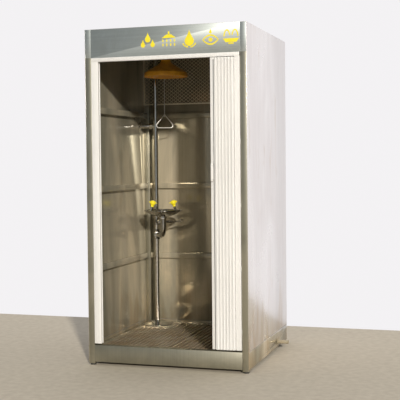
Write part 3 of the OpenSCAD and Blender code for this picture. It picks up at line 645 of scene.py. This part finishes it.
def lid(x, z, half, tall, width, side):
    """Outline of one eyelid: a shallow curve that comes to a point at both ends."""
    steps, gap = 24, 0.3 * MM
    outer, inner = [], []
    for i in range(steps + 1):
        across = 2 * i / steps - 1
        height = tall * (1 - across ** 2) + gap
        outer.append((x + half * across, z + side * height))
        inner.append((x + half * across, z + side * max(height - width, gap)))
    return outer + inner[::-1]


def drops_sign(x, z):
    """Three drops."""
    low = z - 30 * MM
    return [
        drop(x, z + 5 * MM, 19 * MM),
        drop(x - 33 * MM, low, 15 * MM),
        drop(x + 33 * MM, low, 15 * MM),
    ]


def rose_sign(x, z):
    """A shower rose over four lines of spray."""
    bell = in_mm((-16, 31), (-48, 9), (48, 9), (16, 31))
    shapes = [bar(x, z + 40 * MM, 11 * MM, 20 * MM), moved(bell, x, z)]
    for i in range(4):
        for row in range(2):
            line_x = x + (i - 1.5) * 26 * MM
            line_z = z - (8 + 26 * row) * MM
            shapes.append(bar(line_x, line_z, 8 * MM, 17 * MM))
    return shapes


def big_drop_sign(x, z):
    """A large drop in a broken ring."""
    middle = z - 17 * MM
    shapes = [drop(x, middle, 31 * MM)]
    for start, end in ((200, 260), (280, 340)):
        shapes.append(band(x, middle, 45 * MM, 38 * MM, 8 * MM, start, end))
    return shapes


def eye_sign(x, z):
    """An eye under a drop."""
    middle = z - 15 * MM
    shapes = [lid(x, middle, 54 * MM, 33 * MM, 10 * MM, side) for side in (1, -1)]
    shapes.append(disc(x, middle, 13 * MM))
    shapes.append(drop(x, z + 32 * MM, 9 * MM))
    return shapes


def basin_sign(x, z):
    """A basin on a foot, with two jets that cross over it."""
    basin = in_mm((-52, -12), (52, -12), (36, -36), (-36, -36))
    shapes = [moved(basin, x, z), bar(x, z - 43 * MM, 34 * MM, 9 * MM)]
    for side in (-1, 1):
        start, end = 90 - side * 75, 90 + side * 85
        jet_x, jet_z = x - side * 26 * MM, z - 4 * MM
        shapes.append(band(jet_x, jet_z, 19 * MM, 44 * MM, 8 * MM, start, end))
    return shapes


def add_symbols():
    """Five plain pictograms in yellow film on the header's front."""
    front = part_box("header_panel")[0].y
    middle_z = cad_high.z - 88 * MM
    places = {
        drops_sign: -0.106,
        rose_sign: 0.036,
        big_drop_sign: 0.173,
        eye_sign: 0.313,
        basin_sign: 0.446,
    }
    build = bmesh.new()
    for sign, x in places.items():
        for outline in sign(x, middle_z):
            plate(build, outline, front)
    new_piece("header_symbols", build, SYMBOL_FILM, "cabin", SLOT_OF["header_panel"])


# ---------------------------------------------------------------- shower head, flange and bowl


def replace_node(name, build, node):
    """Makes a piece of the cabin's body that stands for one CAD node."""
    new_piece(name, build, look_of(node), "cabin", SLOT_OF[node], node)


def add_shower_head():
    """A spun bell with a rolled rim and a moulded collar round the arm."""
    low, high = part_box("shower_head")
    rim, top = (high.x - low.x) / 2, high.z - low.z
    neck, band_height, dome_height, wall = 35 * MM, 28 * MM, 84 * MM, 3 * MM
    skirt = []
    steps = 36
    for i in range(steps + 1):
        t = i / steps
        radius = neck + (rim - 1.5 * MM - neck) * (1 - t) ** 1.6
        skirt.append((radius, band_height + dome_height * t ** 0.8))
    lip = arc((rim - 3 * MM, 3 * MM), 3 * MM, -90, 0, 8)
    lip += [(rim - 0.4 * MM, 12 * MM), (rim - 0.9 * MM, 24 * MM)]
    collar = arc((neck - 3 * MM, top - 11 * MM), 3 * MM, 0, 90, 6)
    collar += arc((neck - 11 * MM, top - 3 * MM), 3 * MM, 0, 90, 6)
    bore = [(14 * MM, top), (14 * MM, top - 14 * MM)]
    inside = [(r - wall, z - wall) for r, z in reversed(skirt)]
    inside += [(rim - 2 * wall, band_height - 4 * MM), (rim - 2 * wall, 1 * MM)]
    build = bmesh.new()
    profile = lip + skirt + collar + bore + inside
    lathe(build, profile, over("shower_diffuser", low.z), segments=128)
    replace_node("shower_bell", build, "shower_head")


def add_diffuser():
    """The spray plate under the bell, with rings of small spray studs."""
    low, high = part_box("shower_diffuser")
    radius, thick = (high.x - low.x) / 2, high.z - low.z
    rings, ring_gap, edge = 5, 25 * MM, 1 * MM
    where = over("shower_diffuser", low.z)
    build = bmesh.new()
    rounded = arc((radius - edge, edge), edge, -90, 0, 4)
    lathe(build, [(0, 0)] + rounded + [(radius, thick), (0, thick)], where, segments=96, closed=False)
    stud = in_mm((3.6, -0.1), (3.2, -1.6), (1.6, -2.2), (1.1, 0.4), (3, 0.4))
    for ring in range(1, rings + 1):
        for spot in spots_round(ring * ring_gap, 0, 6 * ring):
            lathe(build, stud, where @ spot, segments=12)
    replace_node("spray_plate", build, "shower_diffuser")


def spots_round(radius, height, count):
    """Frames evenly spaced round a circle."""
    spots = []
    for i in range(count):
        angle = FULL_TURN * i / count
        spots.append(Matrix.Translation((radius * math.cos(angle), radius * math.sin(angle), height)))
    return spots


def add_flange():
    """A spun cover over the standpipe's foot, with a beaded edge and a rounded collar."""
    low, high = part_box("floor_flange")
    edge, tall = (high.x - low.x) / 2, high.z - low.z
    pipe, neck, wall, foot = 16.9 * MM, 19.8 * MM, 2 * MM, 6 * MM
    cone = []
    steps = 30
    for i in range(steps + 1):
        t = i / steps
        radius = neck + (edge - 9 * MM - neck) * (1 - t) ** 1.25
        cone.append((radius, foot + (tall - foot - 2.5 * MM) * math.sin(math.pi / 2 * t)))
    bead = arc((edge - 3 * MM, 3 * MM), 3 * MM, -90, 110, 14)
    collar = arc((neck - 1.2 * MM, tall - 1.3 * MM), 1.2 * MM, 0, 90, 5)
    inside = [(max(r - wall, pipe), z - wall) for r, z in reversed(cone)]
    build = bmesh.new()
    profile = bead + cone[:-1] + collar + [(pipe, tall)] + inside + [(edge - 11 * MM, 0)]
    lathe(build, profile, over("floor_flange", low.z), segments=128)
    replace_node("spun_flange", build, "floor_flange")


def add_bowl():
    """A spun dish with a rolled rim and a drain hole in its flat middle."""
    low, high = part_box("eyewash_bowl")
    rim = (high.x - low.x) / 2
    roll, depth, wall, flat, drain = 4 * MM, 46 * MM, 1.5 * MM, 30 * MM, 19 * MM
    outer = [(drain, -depth)]
    steps = 30
    for i in range(steps + 1):
        t = i / steps
        outer.append((flat + (rim - roll - flat) * t, -depth * (1 - t ** 1.7)))
    inner = [(r - 0.4 * MM, z + wall) for r, z in reversed(outer)]
    rolled = arc((rim - roll, 0), roll, -75, 200, 20)
    build = bmesh.new()
    profile = outer[:-1] + rolled + inner[1:]
    lathe(build, profile, over("eyewash_bowl", high.z - roll), segments=128)
    replace_node("eyewash_dish", build, "eyewash_bowl")


# ---------------------------------------------------------------- nozzles and dust caps

NOZZLE_REACH, NOZZLE_HALF, NOZZLE_LIFT = 215 * MM, 93 * MM, 35 * MM
NOZZLE_TOP, NOZZLE_R, EAR_X = 32 * MM, 21 * MM, 25.5 * MM
LYING = Matrix.Rotation(math.pi / 2, 4, "X")


def at_nozzle(side):
    """The frame on top of one riser, tilted towards the bowl's middle; side is -1 or 1."""
    below_rim = 11 * MM
    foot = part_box("eyewash_bowl")[1].z - below_rim
    x = side * (NOZZLE_HALF - NOZZLE_LIFT * math.sin(NOZZLE_TILT))
    z = foot + NOZZLE_LIFT * math.cos(NOZZLE_TILT)
    tilt = Matrix.Rotation(-side * NOZZLE_TILT, 4, "Y")
    return UNIT @ Matrix.Translation((x, -NOZZLE_REACH, z)) @ tilt


def add_nozzles():
    """Tulip spray heads with a beaded foot, a narrow waist and a hinge for the cap."""
    edge, face = 1.5 * MM, NOZZLE_TOP - 1.5 * MM
    tulip = in_mm(
        (0, 0.6), (8, 0.6), (10.5, 1.2), (11, 3), (10, 5), (10, 8),
        (12, 12), (15, 16), (18.2, 21), (20, 25), (20.6, 28))
    tulip += arc((NOZZLE_R - edge, face), edge, 0, 90, 5)
    tulip += [(17.5 * MM, NOZZLE_TOP), (16.5 * MM, face), (0, face)]
    ear = in_mm((0, -1), (2.4, -1), (2.8, -0.6), (2.8, 0.6), (2.4, 1), (0, 1))
    pin = in_mm((0, -6.8), (1.5, -6.8), (1.5, 6.8), (0, 6.8))
    hole = in_mm((2.6, -0.2), (2.6, 0.9), (1.5, 1.1), (1.5, -0.2))
    build = bmesh.new()
    for side in (-1, 1):
        where = at_nozzle(side)
        lathe(build, tulip, where, segments=64, closed=False)
        for y in (-6 * MM, 6 * MM):
            ear_place = where @ Matrix.Translation((side * EAR_X, y, NOZZLE_TOP)) @ LYING
            lathe(build, ear, ear_place, segments=24, closed=False)
            web = where @ Matrix.Translation((side * 21.2 * MM, y, NOZZLE_TOP - 2.5 * MM))
            add_sized_block(build, web, (8.5 * MM, 2 * MM, 5 * MM))
        pin_place = where @ Matrix.Translation((side * EAR_X, 0, NOZZLE_TOP)) @ LYING
        lathe(build, pin, pin_place, segments=20, closed=False)
        for spot in spots_round(9 * MM, face, 6):
            lathe(build, hole, where @ spot, segments=16)
    replace_node("spray_heads", build, "eyewash_nozzles")


def add_cap(side, node):
    """A domed dust cap with grip ribs, a lift tab and a hinge knuckle."""
    foot = NOZZLE_TOP + 0.3 * MM
    outer = NOZZLE_R + 1 * MM
    build = bmesh.new()
    where = at_nozzle(side)
    lathe(build, cap_profile(foot, outer), where, segments=72, closed=False)
    bmesh.ops.remove_doubles(build, verts=build.verts, dist=1e-7)
    ribs, clear_of_hinge = 24, 0.5
    rib = in_mm((0, 0), (0.8, 0.3), (0.8, 4.2), (0, 4.6))
    for i in range(ribs):
        angle = FULL_TURN * i / ribs
        from_hinge = min(angle, FULL_TURN - angle) if side > 0 else abs(angle - math.pi)
        if from_hinge < clear_of_hinge:
            continue
        turned = where @ Matrix.Rotation(angle, 4, "Z")
        rib_place = turned @ Matrix.Translation((outer, 0, foot + 0.8 * MM))
        lathe(build, rib, rib_place, segments=8, closed=False)
    tab = where @ Matrix.Translation((-side * (NOZZLE_R + 5 * MM), 0, foot + 2.5 * MM))
    add_sized_block(build, tab, (10 * MM, 12 * MM, 3 * MM))
    link = where @ Matrix.Translation((side * (EAR_X - 4 * MM), 0, foot + 1.45 * MM))
    add_sized_block(build, link, (8 * MM, 9.6 * MM, 2.9 * MM))
    knuckle = in_mm((1.55, -4.8), (2.8, -4.8), (3.2, -4.4), (3.2, 4.4), (2.8, 4.8), (1.55, 4.8))
    knuckle_place = where @ Matrix.Translation((side * EAR_X, 0, NOZZLE_TOP)) @ LYING
    lathe(build, knuckle, knuckle_place, segments=28)
    new_piece("soft_" + node, build, look_of(node), BODY_OF[node], SLOT_OF[node], node)


def cap_profile(foot, outer):
    """The cap's section: a hollow underside, a rounded skirt and a domed top."""
    shape = [(0, 3 * MM), (17.4 * MM, 3 * MM), (18 * MM, 2.4 * MM), (18 * MM, 0)]
    shape += [(outer - 0.6 * MM, 0), (outer, 0.6 * MM), (outer, 5.4 * MM), (outer - 0.4 * MM, 6 * MM)]
    for i in range(1, 10):
        angle = math.radians(9 * i)
        shape.append(((20 * math.cos(angle) + 0.6) * MM, (6 + 9 * math.sin(angle)) * MM))
    shape.append((0, 15 * MM))
    return [(r, foot + z) for r, z in shape]


# ---------------------------------------------------------------- building it all

SHELL = ("left_wall", "right_wall", "back_wall", "roof_panel")

# Width of the rounding on the edges of each CAD node that keeps its shape, in millimetres.
EDGE_WIDTHS = {
    "corner_posts": 1.2,
    "frame_rails": 1.0,
    "wall_girts": 1.2,
    "header_panel": 0.5,
    "front_sill": 0.5,
    "left_wall": 0.4,
    "right_wall": 0.4,
    "back_wall": 0.4,
    "roof_panel": 0.5,
    "base_skirts": 0.4,
    "floor_grating_left": 0.8,
    "floor_grating_right": 0.8,
    "floor_tray": 0.8,
    "door_track": 0.6,
    "strike_jamb": 0.7,
    "hinge_jamb": 0.7,
    "lead_post": 0.8,
    "door_pull": 1.8,
    "levelling_feet": 0.8,
    "waste_tee": 0.8,
    "eyewash_tee": 0.8,
    "inlet_tee": 0.8,
    "top_elbow": 0.8,
    "bowl_drain": 0.8,
    "shower_valve": 0.8,
    "eyewash_valve": 0.8,
    "shower_valve_lever": 0.8,
    "push_lever": 0.8,
    "inlet_pipe": 0.4,
    "drain_outlet": 0.4,
    "wall_rosette": 0.5,
}

bpy.context.scene.view_settings.view_transform = "Standard"
add_camera()
add_sky()
add_floor()
add_sun()
dress_nodes()
for node, width in EDGE_WIDTHS.items():
    soften(node, width * MM)
add_mesh_panel()
add_sealant()
add_symbols()
add_shower_head()
add_diffuser()
add_flange()
add_bowl()
add_nozzles()
add_cap(-1, "dust_cap_left")
add_cap(1, "dust_cap_right")
